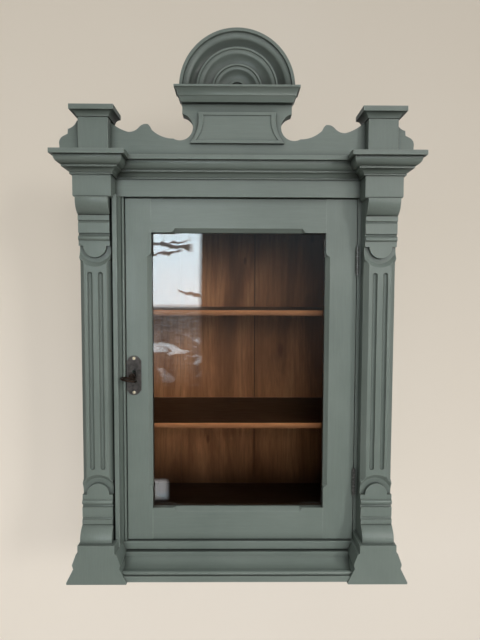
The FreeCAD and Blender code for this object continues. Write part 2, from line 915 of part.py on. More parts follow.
def crest_plate():
    """A bare plate with hollow ends and a raised border."""
    item = new_body("crest_plate")
    outline = both_sides(scaled(PLATE_SHARES, S.plate_half_width, S.plate_height))
    pad(item, new_sketch(item, "XZ_Plane", [outline]), S.plate_thickness)
    border = S.plate_border
    field = both_sides(shifted(scaled(
        PLATE_SHARES, S.plate_half_width - border * 2, S.plate_height - border * 2), 0, border))
    floor = S.plate_thickness - S.plate_recess
    recess = new_sketch(item, "XZ_Plane", [field], offset=(0, 0, S.plate_thickness))
    pocket(item, recess, S.plate_thickness - floor)
    node(place(item, -S.crest_shift, crest_face, deck_top + S.plate_rise))


def moulded_cap(label, half_width, height, depth, overhang, shares):
    """A cap board with a square fillet over a moulding, on its front and both ends."""
    item = new_body(label)
    foot = half_width - overhang
    half_outline = [(foot + overhang * out, height * up, arc) for out, up, arc in shares]
    pad(item, new_sketch(item, "XZ_Plane", [both_sides(half_outline)]), depth)
    moulding = [(overhang * (1 - out) - depth, height * up, -arc) for out, up, arc in shares[:-1]]
    fillet = moulding[-1][1]
    waste = [(-depth - S.overrun, -S.overrun, 0), (overhang - depth, -S.overrun, 0)]
    waste += moulding + [(-depth - S.overrun, fillet, 0)]
    pocket(item, new_sketch(item, "YZ_Plane", [waste]))
    return node(item)


def crest_cap():
    depth = S.cap_projection + S.crest_setback
    item = moulded_cap("crest_cap", S.cap_half_width, S.cap_height, depth, S.cap_overhang, CAP_SHARES)
    place(item, -S.crest_shift, crest_back, crest_top)


def lunette():
    """A half round turned on a lathe: rim, hollow rings between thin ridges, and a boss."""
    item = new_body("crest_lunette")
    profile = scaled(LUNETTE_SHARES, S.lunette_radius, S.lunette_relief)
    profile += [(S.lunette_radius, S.lunette_thickness, 0), (as_length(0), S.lunette_thickness, 0)]
    turning = turned(item, new_sketch(item, "XY_Plane", [profile]), degrees=180)
    turning.Reversed = True
    node(place(item, -S.crest_shift, face - S.lunette_projection, cap_top))


def tower(side):
    """A square post planted on the crest board, with its coved cap."""
    centre = hand(side, tower_centre)
    reach = S.tower_width / 2
    low = (centre - reach, face - S.tower_projection, deck_top)
    node(block(f"tower_block_{side}", low, (centre + reach, crest_face, tower_top)))
    cap_half = S.tower_cap_width / 2
    overhang = S.tower_cap_projection - S.tower_projection
    depth = S.tower_cap_projection + S.crest_setback
    cap = moulded_cap(f"tower_cap_{side}", cap_half, S.tower_cap_height, depth,
                      overhang * (1 - TOWER_FOOT_SHARE), TOWER_CAP_SHARES)
    place(cap, centre, crest_back, tower_top)


# Door

def frame_member(label, length, width, opening_start, opening_end):
    """A door stile or rail, upright, with its glass edge at x = 0 and its face at y = 0."""
    item = new_body(label)
    section = rectangle(-width, 0, 0, S.frame_thickness)
    pad(item, new_sketch(item, "XY_Plane", [section]), length)
    rebate = rectangle(-S.rebate_width, opening_start - S.rebate_width, S.overrun,
                       opening_end + S.rebate_width)
    behind = S.frame_thickness + S.overrun
    sketch = new_sketch(item, "XZ_Plane", [rebate], offset=(0, 0, -behind))
    sinking = pocket(item, sketch, behind - S.glass_setback)
    sinking.Reversed = True
    stopped_chamfer(item, 0, 135, opening_start + S.chamfer_stop, opening_end - S.chamfer_stop,
                    S.door_chamfer, S.chamfer_run)
    return item


def door_frame(hinge_recesses, lock_holes):
    """Two stiles and two rails, rebated for the glass and chamfered round it."""
    opening_top = S.door_height - S.top_rail_width
    upright = (0, 1, 0)
    lock_stile = frame_member("door_lock_stile_blank", S.door_height, S.lock_stile_width,
                              S.bottom_rail_width, opening_top)
    place(lock_stile, glass_left, face, door_bottom)
    node(cut("door_lock_stile", lock_stile, lock_holes))
    hinge_stile = frame_member("door_hinge_stile_blank", S.door_height, S.hinge_stile_width,
                               S.top_rail_width, S.door_height - S.bottom_rail_width)
    place(hinge_stile, glass_right, face, door_top, upright, 180)
    node(cut("door_hinge_stile", hinge_stile, hinge_recesses))
    span = glass_right - glass_left
    top_rail = frame_member("door_top_rail", span, S.top_rail_width, as_length(0), span)
    node(place(top_rail, glass_left, face, glass_top, upright, 90))
    bottom_rail = frame_member("door_bottom_rail", span, S.bottom_rail_width, as_length(0), span)
    node(place(bottom_rail, glass_right, face, glass_bottom, upright, -90))


def glazing():
    """The pane in its rebate and the four beads that hold it."""
    margin = S.rebate_width
    left = glass_left - margin
    right = glass_right + margin
    bottom = glass_bottom - margin
    top = glass_top + margin
    pane_face = face + S.glass_setback
    pane_back = pane_face + S.glass_thickness
    node(block("glass_pane", (left, pane_face, bottom), (right, pane_back, top)))
    beads = [
        block("glazing_bead_bottom", (left, pane_back, bottom), (right, frame_back, glass_bottom)),
        block("glazing_bead_top", (left, pane_back, glass_top), (right, frame_back, top)),
        block("glazing_bead_left", (left, pane_back, glass_bottom), (glass_left, frame_back, glass_top)),
        block("glazing_bead_right", (glass_right, pane_back, glass_bottom), (right, frame_back, glass_top)),
    ]
    node(group("glazing_beads", beads))


# Hinges

def hinge_leaf(label, centre, direction, knuckles):
    """One leaf: its plate, the knuckles it carries and the necks that join them, bored for the pin."""
    near = S.leaf_spacing / 2
    far = near + S.leaf_thickness
    edges = sorted((hinge_across + near * direction, hinge_across + far * direction), key=lambda e: e.value)
    bottom = centre - S.hinge_height / 2
    plate_front = hinge_depth + S.knuckle_radius + S.knuckle_clearance
    plate = block(f"{label}_plate", (edges[0], plate_front, bottom),
                  (edges[1], plate_front + S.leaf_width, bottom + S.hinge_height))
    pitch = (S.hinge_height + S.knuckle_clearance) / KNUCKLES
    members = [plate]
    for number in knuckles:
        low = bottom + pitch * number
        high = low + pitch - S.knuckle_clearance
        members.append(rod(f"{label}_knuckle_{number}", (hinge_across, hinge_depth, low),
                           S.knuckle_radius, high - low))
        neck_front = hinge_depth + (S.knuckle_radius + S.hinge_pin_radius) / 2
        members.append(block(f"{label}_neck_{number}", (edges[0], neck_front, low),
                             (edges[1], plate_front, high)))
    bore = rod(f"{label}_bore", (hinge_across, hinge_depth, bottom - S.overrun),
               S.hinge_pin_radius + S.hinge_pin_fit, S.hinge_height + S.overrun * 2)
    return cut(label, fuse(f"{label}_blank", members), [bore])


def hinges():
    """Two butt hinges; gives the recesses for their leaves in the frame and in the door."""
    frame_leaves, door_leaves, pins = [], [], []
    recesses = {"frame": [], "door": []}
    depth = (S.hinge_gap - S.leaf_spacing) / 2
    for name, centre in zip(("upper", "lower"), hinge_centres):
        frame_leaves.append(hinge_leaf(f"{name}_frame_leaf", centre, 1, (0, 2)))
        door_leaves.append(hinge_leaf(f"{name}_door_leaf", centre, -1, (1,)))
        bottom = centre - S.hinge_height / 2
        top = centre + S.hinge_height / 2
        pins.append(fuse(f"{name}_hinge_pin", [
            rod(f"{name}_pin_bar", (hinge_across, hinge_depth, bottom), S.hinge_pin_radius, S.hinge_height),
            rod(f"{name}_pin_foot", (hinge_across, hinge_depth, bottom - S.hinge_pin_head),
                S.hinge_pin_head_radius, S.hinge_pin_head),
            rod(f"{name}_pin_head", (hinge_across, hinge_depth, top),
                S.hinge_pin_head_radius, S.hinge_pin_head),
        ]))
        inset = S.leaf_thickness - depth
        back = face + S.leaf_width
        front = face - S.overrun
        recesses["frame"].append(block(f"{name}_frame_recess", (stile_right_edge - S.overrun, front, bottom),
                                       (stile_right_edge + inset, back, top)))
        recesses["door"].append(block(f"{name}_door_recess", (hinge_edge - inset, front, bottom),
                                      (hinge_edge + S.overrun, back, top)))
    node(group("hinge_frame_leaves", frame_leaves))
    node(group("hinge_door_leaves", door_leaves))
    node(group("hinge_pins", pins))
    return recesses


# Lock

FORWARD = (1, 0, 0)


def keyhole(label, front, depth):
    """A round hole for the shank and, above it, the bit's slot with a round end, as a cutter."""
    start = front - S.overrun
    length = depth + S.overrun * 2
    end = S.key_height + S.keyhole_slot_rise
    reach = S.keyhole_slot_width / 2
    return fuse(label, [
        rod(f"{label}_round", (key_across, start, S.key_height), S.keyhole_radius, length, FORWARD, -90),
        rod(f"{label}_end", (key_across, start, end), S.keyhole_end_radius, length, FORWARD, -90),
        block(f"{label}_slot", (key_across - reach, start, S.key_height),
              (key_across + reach, start + length, end)),
    ])


def plate_pin_heights():
    reach = S.escutcheon_length / 2 - S.plate_pin_inset
    return (S.key_height + reach, S.key_height - reach)


def plate_pin_holes(label):
    radius = S.plate_pin_shank + S.plate_pin_fit
    length = S.plate_pin_length + S.overrun
    return [rod(f"{label}_{number}", (key_across, face - S.overrun, height), radius, length, FORWARD, -90)
            for number, height in enumerate(plate_pin_heights())]


def escutcheon():
    """A steel plate with rounded ends, held by two domed pins."""
    item = new_body("escutcheon_blank")
    reach = S.escutcheon_width / 2
    rise = S.escutcheon_length / 2 - S.escutcheon_end_rise
    end = reach - S.escutcheon_shoulder
    outline = both_sides([
        (end, -rise, 0),
        (reach, -rise, 0),
        (reach, rise, 0),
        (end, rise, ESCUTCHEON_END_SHARE),
    ])
    outline[-1] = (-end, -rise, ESCUTCHEON_END_SHARE)
    pad(item, new_sketch(item, "XZ_Plane", [outline]), S.escutcheon_thickness)
    place(item, key_across, face, S.key_height)
    opening = keyhole("escutcheon_keyhole", face - S.escutcheon_thickness, S.escutcheon_thickness)
    node(cut("escutcheon", item, [opening] + plate_pin_holes("escutcheon_pin_hole")))
    pins = []
    for number, height in enumerate(plate_pin_heights()):
        pin = new_body(f"escutcheon_pin_{number}")
        half_chord = S.plate_pin_radius
        rise_share = S.plate_pin_dome.value / half_chord.value
        dome_share = math.tan(math.atan(rise_share) / 2)
        profile = [
            (0, -S.plate_pin_dome, dome_share),
            (S.plate_pin_radius, 0, 0),
            (S.plate_pin_shank, 0, 0),
            (S.plate_pin_shank, S.plate_pin_length - S.overrun / 2, 0),
            (0, S.plate_pin_length - S.overrun / 2, 0),
        ]
        turned(pin, new_sketch(pin, "XY_Plane", [profile]))
        pins.append(place(pin, key_across, face - S.escutcheon_thickness, height))
    node(group("escutcheon_pins", pins))


def lock_case():
    """A sheet steel case on the stile's inner face, with a post for the key and a stud for the bolt."""
    left = lock_edge + S.case_setback
    right = left + S.case_width
    low = S.key_height - S.case_below
    high = S.key_height + S.case_above
    back = frame_back + S.case_depth
    wall = S.case_wall
    gap = S.bolt_clearance
    shell = block("lock_case_shell", (left, frame_back, low), (right, back, high))
    hollow = block("lock_case_hollow", (left + wall, frame_back - S.overrun, low + wall),
                   (right - wall, back - wall, high - wall))
    bolt_front = frame_back + S.bolt_setback
    mouth = block("lock_case_mouth", (left - S.overrun, bolt_front - gap, S.key_height - S.bolt_far - gap),
                  (left + S.overrun, bolt_front + S.bolt_thickness + gap, S.key_height - S.bolt_near + gap))
    post = rod("lock_post", (key_across, back - wall, S.key_height), S.post_radius, S.post_length,
               FORWARD, 90)
    stud = rod("lock_stud", (key_across + S.stud_offset, back - wall, S.key_height - S.stud_drop),
               S.stud_radius, S.case_depth - wall - S.bolt_setback, FORWARD, 90)
    node(fuse("lock_case", [cut("lock_case_walls", shell, [hollow, mouth]), post, stud]))


def lock_bolt():
    """The bolt, with a talon notch under the key's bit and a slot for the guide stud."""
    left = lock_edge + S.case_setback
    front = frame_back + S.bolt_setback
    back = front + S.bolt_thickness
    top = S.key_height - S.bolt_near
    bar = block("lock_bolt_bar", (left, front, S.key_height - S.bolt_far), (left + S.bolt_length, back, top))
    notch = block("lock_bolt_talon", (key_across - S.talon_lead, front - S.overrun, top - S.talon_height),
                  (key_across + S.talon_lead + S.bolt_travel, back + S.overrun, top + S.overrun))
    reach = S.stud_radius + S.bolt_clearance
    stud = key_across + S.stud_offset
    slot = block("lock_bolt_slot", (stud - reach, front - S.overrun, S.key_height - S.stud_drop - reach),
                 (stud + S.bolt_travel + reach, back + S.overrun, S.key_height - S.stud_drop + reach))
    node(cut("lock_bolt", bar, [notch, slot]))


def key():
    """A pipe key: oval bow, collared shank bored for the post, and a flat bit."""
    item = new_body("key")
    centre = -S.bow_setback - S.bow_half_length
    outer = scaled(OVAL_SHARES, S.bow_half_width, S.bow_half_length)
    inner = scaled(OVAL_SHARES, S.bow_half_width - S.bow_bar, S.bow_half_length - S.bow_bar)
    bow = pad(item, new_sketch(item, "XY_Plane", [shifted(outer, 0, centre), shifted(inner, 0, centre)]),
              S.bow_bar, symmetric=True)
    doc.recompute()
    rounding = item.newObject("PartDesign::Fillet", "key_rounding")
    rounding.Base = (bow, [f"Edge{number + 1}" for number in range(len(bow.Shape.Edges))])
    bind(rounding, "Radius", S.bow_rounding)
    collar_front = -S.collar_setback - S.collar_length
    bore = S.post_radius + S.post_fit
    bottom = S.shank_reach - S.shank_bore_depth
    shank = [
        (0, -S.bow_setback - S.bow_bar / 2, 0),
        (S.shank_radius, -S.bow_setback - S.bow_bar / 2, 0),
        (S.shank_radius, collar_front, 0),
        (S.collar_radius, collar_front, HALF_SHARE),
        (S.collar_radius, -S.collar_setback, 0),
        (S.shank_radius, -S.collar_setback, 0),
        (S.shank_radius, S.shank_reach, 0),
        (bore, S.shank_reach, 0),
        (bore, bottom, 0),
        (0, bottom, 0),
    ]
    turned(item, new_sketch(item, "XY_Plane", [shank]))
    bit = rectangle((bore + S.shank_radius) / 2, S.bit_setback, S.bit_radius, S.bit_setback + S.bit_width)
    pad(item, new_sketch(item, "XY_Plane", [bit]), S.bit_thickness, symmetric=True)
    node(place(item, key_across, face, S.key_height, (0, 1, 0), KEY_TILT_DEGREES))


def write_nodes():
    """Check every object, then write each piece to its own file."""
    doc.recompute()
    for item in doc.Objects:
        if {"Invalid", "Error"} & set(item.State):
            raise RuntimeError(f"{item.Label} failed: {item.State}")
    for item in nodes:
        if item.Shape.isNull() or not item.Shape.isValid() or not item.Shape.Solids:
            raise RuntimeError(f"{item.Label} has no valid solid")
    os.makedirs("parts", exist_ok=True)
    for item in nodes:
        item.Shape.exportStep(f"parts/{item.Label}.step")
    solids = sum(len(item.Shape.Solids) for item in nodes)
    print(f"{len(nodes)} nodes, {solids} solids")


def main():
    recesses = hinges()
    feet = [foot(side) for side in SIDES]
    carcass_panels()
    back_boards(hanger_plates())
    blocks = [frieze_block(side) for side in SIDES]
    face_frame(feet, blocks, recesses["frame"])
    for side in SIDES:
        pilaster(side)
        tower(side)
        for level in ("upper", "lower"):
            console(side, level)
    base_mouldings(feet)
    cornice()
    crest_board()
    crest_plate()
    crest_cap()
    lunette()
    stile_keyhole = keyhole("stile_keyhole", face, S.frame_thickness)
    door_frame(recesses["door"], [stile_keyhole] + plate_pin_holes("stile_pin_hole"))
    glazing()
    escutcheon()
    lock_case()
    lock_bolt()
    key()
    write_nodes()


main()
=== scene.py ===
import math

import bpy
from mathutils import Matrix, Vector


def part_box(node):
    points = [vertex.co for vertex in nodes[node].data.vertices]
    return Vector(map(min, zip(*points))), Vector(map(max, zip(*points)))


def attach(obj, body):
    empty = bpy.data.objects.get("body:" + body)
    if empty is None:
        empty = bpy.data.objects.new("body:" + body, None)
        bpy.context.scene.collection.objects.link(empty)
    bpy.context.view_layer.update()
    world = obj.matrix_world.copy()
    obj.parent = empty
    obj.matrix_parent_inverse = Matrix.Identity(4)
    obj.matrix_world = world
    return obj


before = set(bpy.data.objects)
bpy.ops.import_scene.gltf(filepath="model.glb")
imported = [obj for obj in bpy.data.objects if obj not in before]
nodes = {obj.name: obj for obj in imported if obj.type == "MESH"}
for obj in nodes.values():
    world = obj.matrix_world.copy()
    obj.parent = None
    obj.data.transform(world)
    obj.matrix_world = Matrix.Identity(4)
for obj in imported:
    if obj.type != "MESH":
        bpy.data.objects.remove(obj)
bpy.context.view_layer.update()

# All lengths are in metres in the cabinet's frame: x to the right, y into the wall, z up.

# The camera of the photograph, its angles in degrees.
PHOTO_HEIGHT_PX = 640
FOCAL_PX = 481
SENSOR_MM = 36
CAMERA_PLACE = Vector((-0.0033, -0.9831, 0.4354))
CAMERA_PITCH = 3.236
CAMERA_YAW = -0.502
CAMERA_ROLL = 0.188
NEAREST_SEEN = 0.01

# Colours, linear.
PAINT = (0.144, 0.178, 0.160)
PAINT_DARK = (0.110, 0.139, 0.124)
PAINT_PALE = (0.184, 0.221, 0.199)
PAINT_WORN = (0.257, 0.293, 0.263)
# Dirt with painted shade, for hollows and creases.
CREVICE_DIRT_AND_SHADE = (0.030, 0.036, 0.031)
# Painted shadow in the open gap by the left pilaster.
GAP_PAINTED_SHADOW = (0.004, 0.005, 0.004)
STAIN_DARK = (0.095, 0.032, 0.011)
# Near black: the level boards' even deep tone, and the painted shade on the back.
DEEP_STAIN_AND_SHADE = (0.009, 0.004, 0.002)
STAIN = (0.400, 0.166, 0.066)
STAIN_PALE = (0.560, 0.268, 0.124)
STAIN_RUBBED = (0.355, 0.155, 0.064)
PINE = (0.430, 0.300, 0.180)
PINE_DARK = (0.230, 0.140, 0.075)
PANE = (0.97, 0.98, 0.975)
PANE_SHADOW = (0.95, 0.96, 0.955)
WALL = (0.770, 0.708, 0.620)
WALL_SHADED = (0.48, 0.42, 0.32)
FLOOR = (0.780, 0.730, 0.660)
STAGE_MOTTLE = (0.9, 0.9, 0.9)
DAYLIGHT = (1.0, 0.98, 0.95)
FILL_LIGHT = (1.0, 0.985, 0.985)
AMBIENT = (1.0, 0.97, 0.93)
BACKDROP = (0.72, 0.68, 0.62)
ROOM_GREY = (0.93, 0.93, 0.93)
ROOM_COLD = (0.80, 0.93, 1.0)

# Metals: the dark and the pale of their clouds, and the range of their roughness.
METALS = {
    "hinge_steel": {"dark": (0.085, 0.095, 0.088), "pale": (0.260, 0.255, 0.245),
                    "polish": (0.28, 0.44), "metallic": 0.7, "scale": 420},
    "steel": {"dark": (0.055, 0.053, 0.052), "pale": (0.150, 0.146, 0.140), "polish": (0.38, 0.60)},
    "dark_steel": {"dark": (0.045, 0.040, 0.038), "pale": (0.120, 0.108, 0.100),
                   "polish": (0.40, 0.58), "metallic": 0.6},
    "iron": {"dark": (0.020, 0.013, 0.010), "pale": (0.080, 0.055, 0.040),
             "polish": (0.30, 0.46), "metallic": 0.8},
    "brass": {"dark": (0.72, 0.60, 0.38), "pale": (0.92, 0.84, 0.64),
              "polish": (0.30, 0.42), "metallic": 0.5},
}
BRIGHT_EDGE_GAIN = 2.2

# Wooden edges: how they are rounded, how far wear reaches from an edge, and how far dirt with
# painted shade reaches from a hollow or crease.
EDGE_ROUNDING = 0.0007
ROUNDING_STEPS = 2
ROUNDED_FROM_DEGREES = 35
WELD_DISTANCE = 0.00001
RUB_REACH = 0.0022
CHIP_REACH = 0.0012
CREASE_REACH = 0.0035
FLAT_HOLLOW = 0.013
CARVED_HOLLOW = 0.008
MOULDED_HOLLOW = 0.040
METAL_EDGE_REACH = 0.0006

# Depths of the fine relief.
BRUSH_DEPTH = 0.0006
FIBRE_DEPTH = 0.0004
SCRATCH_DEPTH = 0.0002
RIPPLE_DEPTH = 0.002

# Wood figure: how noise is stretched along the grain, how the rings run, and the knots of the back,
# each with its x, its z and its size.
GRAIN = {"x": (0.06, 1, 1), "y": (1, 0.06, 1), "z": (1, 1, 0.06)}
GRAIN_SOFT = {"x": (0.22, 1, 1), "y": (1, 0.22, 1), "z": (1, 1, 0.22)}
RING_AXES = {"x": "yz", "y": "xy", "z": "xy"}
RING_TURNS = 560
RING_SLOPE = 0.35
RING_DRIFT = 0.15
KNOT_LENGTH = 2.6
KNOT_SWELL = 1.1
BACK_KNOTS = ((0.088, 0.320, 0.021), (-0.060, 0.135, 0.013), (0.015, 0.500, 0.011),
              (0.150, 0.545, 0.014))

# The clear space inside the cabinet, where the wood is stained and not painted.
SKIN = 0.0002
left_wall, right_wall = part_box("left_side_panel"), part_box("right_side_panel")
floor_board, roof_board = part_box("bottom_panel"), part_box("top_panel")
INSIDE = ((left_wall[1].x - SKIN, floor_board[0].y - SKIN, floor_board[1].z - SKIN),
          (right_wall[0].x + SKIN, left_wall[1].y + SKIN, roof_board[0].z + SKIN))
BACK_PLANE = left_wall[1].y - 3 * SKIN

# The front edges of the shelves.
shelf_boxes = [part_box("lower_shelf"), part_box("upper_shelf")]
SHELF_FRONT = shelf_boxes[0][0].y
SHELF_EDGES = [(low.z, high.z) for low, high in shelf_boxes]

# Where the back is painted with shade: near the floor, under the top and on the right board; and
# where its joints are drawn dark.
BACK_SHADE_LOW = (0.05, 0.18)
BACK_SHADE_HIGH = (0.52, 0.59)
BACK_SHADE_RIGHT = (0.04, 0.19)
BOARD_JOINTS = [corner.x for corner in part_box("back_board_middle")]
BOARD_JOINT_SHADES = (0.30, 0.85)
BOARD_JOINT_LINE = (0.0005, 0.0014)

# The open gap between the left pilaster and the strip beside it, painted black as shadow as far as
# its rims.
GAP_RIM, GAP_LIP = 0.0012, 0.004
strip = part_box("lock_side_strip")
lower_console, upper_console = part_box("lower_console_left"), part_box("upper_console_left")
GAP = ((lower_console[1].x - GAP_RIM, strip[0].y - GAP_LIP, lower_console[0].z),
       (strip[0].x + GAP_RIM, strip[1].y, upper_console[1].z))

# Screws: radius, height of the dome and half the slot's width. Nails: radius and height.
LEAF_SCREW = (0.0025, 0.00012, 0.0004)
CASE_SCREW = (0.0023, 0.0007, 0.0004)
HANGER_SCREW = (0.0034, 0.00014, 0.0005)
BACK_NAIL = (0.0017, 0.00015)

# The rings of a head, as shares of its radius and its height, the steps round it, and how far the
# first head and each later one are turned, in radians.
SCREW_RINGS = ((1.0, 0.0), (0.93, 0.55), (0.62, 1.0))
NAIL_RINGS = ((1.0, 0.0), (0.95, 0.6), (0.70, 1.0))
SCREW_STEPS, NAIL_STEPS = 10, 9
NAIL_UNEVENNESS = 0.06
FIRST_TURN, NEXT_TURN = 0.4, 1.7

# Where the heads sit, and how far a hinge leaf stands proud of the edge that it is let into.
LEAF_PROUD = 0.0004
HINGE_HEIGHT = 0.041
LEAF_SCREW_INSET, LEAF_SCREW_STAGGER, LEAF_SCREW_PITCH = 0.0053, 0.0044, 0.0135
CASE_SCREW_INSET = 0.0044
HANGER_WIDTH = 0.028
HANGER_SCREW_RISES = (0.0076, 0.0216)
NAIL_COLUMNS = (-0.212, -0.130, -0.100, 0.020, 0.050, 0.206)
NAIL_ROWS = (0.036, 0.217, 0.403, 0.590)

# The stage, and the heights between which the wall is painted darker with shade, and the places
# between which its painted glow changes.
WALL_SIZE, WALL_GAP = 8, 0.001
WALL_SHADE_HEIGHTS, WALL_GLOW_PLACES = (-0.1, 0.60), (-0.9, 0.2)
FLOOR_SIZE, FLOOR_DROP = 12, 1.0
ROOM_WIDTH, ROOM_HEIGHT, ROOM_AWAY = 6, 5, 3.2

# The mirrored room on its card: each pair is where a soft edge begins and ends.
WINDOW_LEFT, WINDOW_RIGHT = (-0.80, -0.74), (-0.30, -0.26)
SKY_FOOT, SKY_HEAD = (0.31, 0.35), (0.92, 0.98)
LAND_FOOT, LAND_HEAD = (-0.30, 0.10), (0.29, 0.33)
SNOW_HEAD = (0.02, 0.12)
SILL_FOOT, SILL_HEAD, SILL_RIGHT = (-1.21, -1.17), (-1.06, -1.03), (-0.56, -0.52)
SKY_GLOW_HEIGHTS, ROOM_GLOW_HEIGHTS = (0.30, 0.9), (-0.45, 0.9)

# Bare branches before that window: height, slope, half width, and where each begins and ends.
BRANCHES = ((0.80, -0.16, 0.020, -0.76, -0.32), (0.74, 0.22, 0.016, -0.76, -0.40),
            (0.83, 0.10, 0.012, -0.70, -0.34), (0.47, -0.26, 0.016, -0.46, -0.24))
BRANCH_MIDDLE = 0.5
BRANCH_CROOK = 0.16
BRANCH_START_FADE, BRANCH_END_FADE = 0.02, 0.05

# Lamps: place, target, width and height, power in watts, spread in degrees.
CABINET_MIDDLE = (0, -0.24, 0.38)
LAMPS = (
    {"name": "window_light", "place": (2.93, -4.13, 1.45), "target": (0, -0.24, -0.40),
     "size": (0.7, 1.0), "watts": 6.8, "spread": 48, "colour": DAYLIGHT, "glossy": True},
    {"name": "front_fill", "place": (0.25, -2.7, 0.85), "target": (0, -0.24, -0.05),
     "size": (1.6, 1.0), "watts": 8.6, "spread": 80, "colour": FILL_LIGHT},
    {"name": "ceiling", "place": (0, -1.3, 2.4), "target": CABINET_MIDDLE,
     "size": (1.6, 1.6), "watts": 7, "spread": 180, "colour": DAYLIGHT},
    {"name": "rear_fill", "place": (-0.6, 3.0, 1.2), "target": CABINET_MIDDLE,
     "size": (1.8, 1.6), "watts": 16, "spread": 180, "colour": DAYLIGHT},
)
AMBIENT_STRENGTH = 0.24


class Graph:
    """A material's or a world's node tree, with one call for a node and all that feeds it."""

    def __init__(self, name, kind="Material"):
        self.kind = kind
        self.owner = getattr(bpy.data, kind.lower() + "s").new(name)
        self.owner.use_nodes = True
        self.tree = self.owner.node_tree
        self.tree.nodes.clear()

    def add(self, kind, settings=None, **inputs):
        item = self.tree.nodes.new(kind)
        for name, value in (settings or {}).items():
            setattr(item, name, value)
        for name, value in inputs.items():
            self.feed(item, name.replace("_", " "), value)
        return item

    def feed(self, item, name, value):
        socket = item.inputs[int(name)] if name.isdigit() else item.inputs[name]
        if isinstance(value, bpy.types.NodeSocket):
            self.tree.links.new(value, socket)
        elif isinstance(value, tuple) and len(value) == 3 and socket.type == "RGBA":
            socket.default_value = (*value, 1)
        else:
            socket.default_value = value

    def maths(self, operation, first, second=0.0):
        item = self.add("ShaderNodeMath", {"operation": operation})
        self.feed(item, "0", first)
        self.feed(item, "1", second)
        return item.outputs[0]

    def times(self, first, second):
        return self.maths("MULTIPLY", first, second)

    def plus(self, first, second):
        return self.maths("ADD", first, second)

    def minus(self, first, second):
        return self.maths("SUBTRACT", first, second)

    def larger(self, first, second):
        return self.maths("MAXIMUM", first, second)

    def above(self, first, second):
        """One where the first value is above the second, and nought elsewhere."""
        return self.maths("GREATER_THAN", first, second)

    def blend(self, share, first, second):
        """One colour over another."""
        item = self.add("ShaderNodeMix", {"data_type": "RGBA", "blend_type": "MIX"})
        for number, value in ((0, share), (6, first), (7, second)):
            self.feed(item, str(number), value)
        return item.outputs[2]

    def span(self, value, low, high, start=0.0, end=1.0):
        """A value's way from low to high, told from start to end and held beyond."""
        item = self.add("ShaderNodeMapRange", {"clamp": True})
        for number, amount in enumerate((value, low, high, start, end)):
            self.feed(item, str(number), amount)
        return item.outputs[0]

    def between(self, value, rise, fall):
        """One between two soft edges, and nought outside them."""
        return self.times(self.span(value, *rise), self.span(value, *fall, 1.0, 0.0))

    def noise(self, scale, stretch=(1, 1, 1), detail=4.0, distortion=0.0, shift=(0, 0, 0)):
        """Noise in the object's own metres, stretched by a scale on each axis."""
        place = self.add("ShaderNodeTexCoord").outputs["Object"]
        mapping = self.add("ShaderNodeMapping", Vector=place, Scale=stretch, Location=shift)
        texture = self.add("ShaderNodeTexNoise", Vector=mapping.outputs[0], Scale=scale,
                           Detail=detail, Distortion=distortion)
        return texture.outputs["Fac"]

    def axes(self):
        """The object's own x, y and z in metres."""
        place = self.add("ShaderNodeTexCoord").outputs["Object"]
        return self.add("ShaderNodeSeparateXYZ", Vector=place).outputs

    def within(self, low, high):
        """One inside a box in the object's own metres, and nought outside."""
        mask = 1.0
        for axis, start, end in zip(self.axes(), low, high):
            for first, second in ((axis, start), (end, axis)):
                mask = self.times(mask, self.above(first, second))
        return mask

    def edges(self, radius):
        """How near a point is to an edge, from the turn of a rounded normal."""
        rounded = self.add("ShaderNodeBevel", {"samples": 4}, Radius=radius).outputs[0]
        flat = self.add("ShaderNodeNewGeometry").outputs["Normal"]
        dot = self.add("ShaderNodeVectorMath", {"operation": "DOT_PRODUCT"})
        self.feed(dot, "0", rounded)
        self.feed(dot, "1", flat)
        return self.minus(1.0, dot.outputs["Value"])

    def openness(self, reach):
        """How open a point is to what lies within reach: nought deep in a hollow."""
        item = self.add("ShaderNodeAmbientOcclusion", {"samples": 8}, Distance=reach)
        return item.outputs["AO"]

    def mix(self, share, first, second):
        """One shader over another."""
        item = self.add("ShaderNodeMixShader")
        self.feed(item, "0", share)
        for number, shader in ((1, first), (2, second)):
            self.tree.links.new(shader.outputs[0], item.inputs[number])
        return item

    def rays(self, name):
        return self.add("ShaderNodeLightPath").outputs[name]

    def seen(self):
        """One for what the camera sees, plainly or through the pane, and nought elsewhere."""
        bounces = self.plus(self.rays("Diffuse Depth"), self.rays("Glossy Depth"))
        straight = self.maths("LESS_THAN", bounces, 0.5)
        through = self.times(self.rays("Is Transmission Ray"), straight)
        return self.larger(self.rays("Is Camera Ray"), through)

    def mirrored(self):
        """One for what the pane mirrors."""
        return self.above(self.rays("Glossy Depth"), 0.5)

    def surface(self, tone, shine, relief, strength, depth, **more):
        """Finish a material by its tone, its roughness and a relief of some depth."""
        bump = self.add("ShaderNodeBump", Strength=strength, Distance=depth, Height=relief)
        return self.finish(self.add("ShaderNodeBsdfPrincipled", Base_Color=tone, Roughness=shine,
                                    Normal=bump.outputs[0], **more))

    def finish(self, surface):
        output = self.add("ShaderNodeOutput" + self.kind)
        self.tree.links.new(surface.outputs[0], output.inputs["Surface"])
        return self.owner


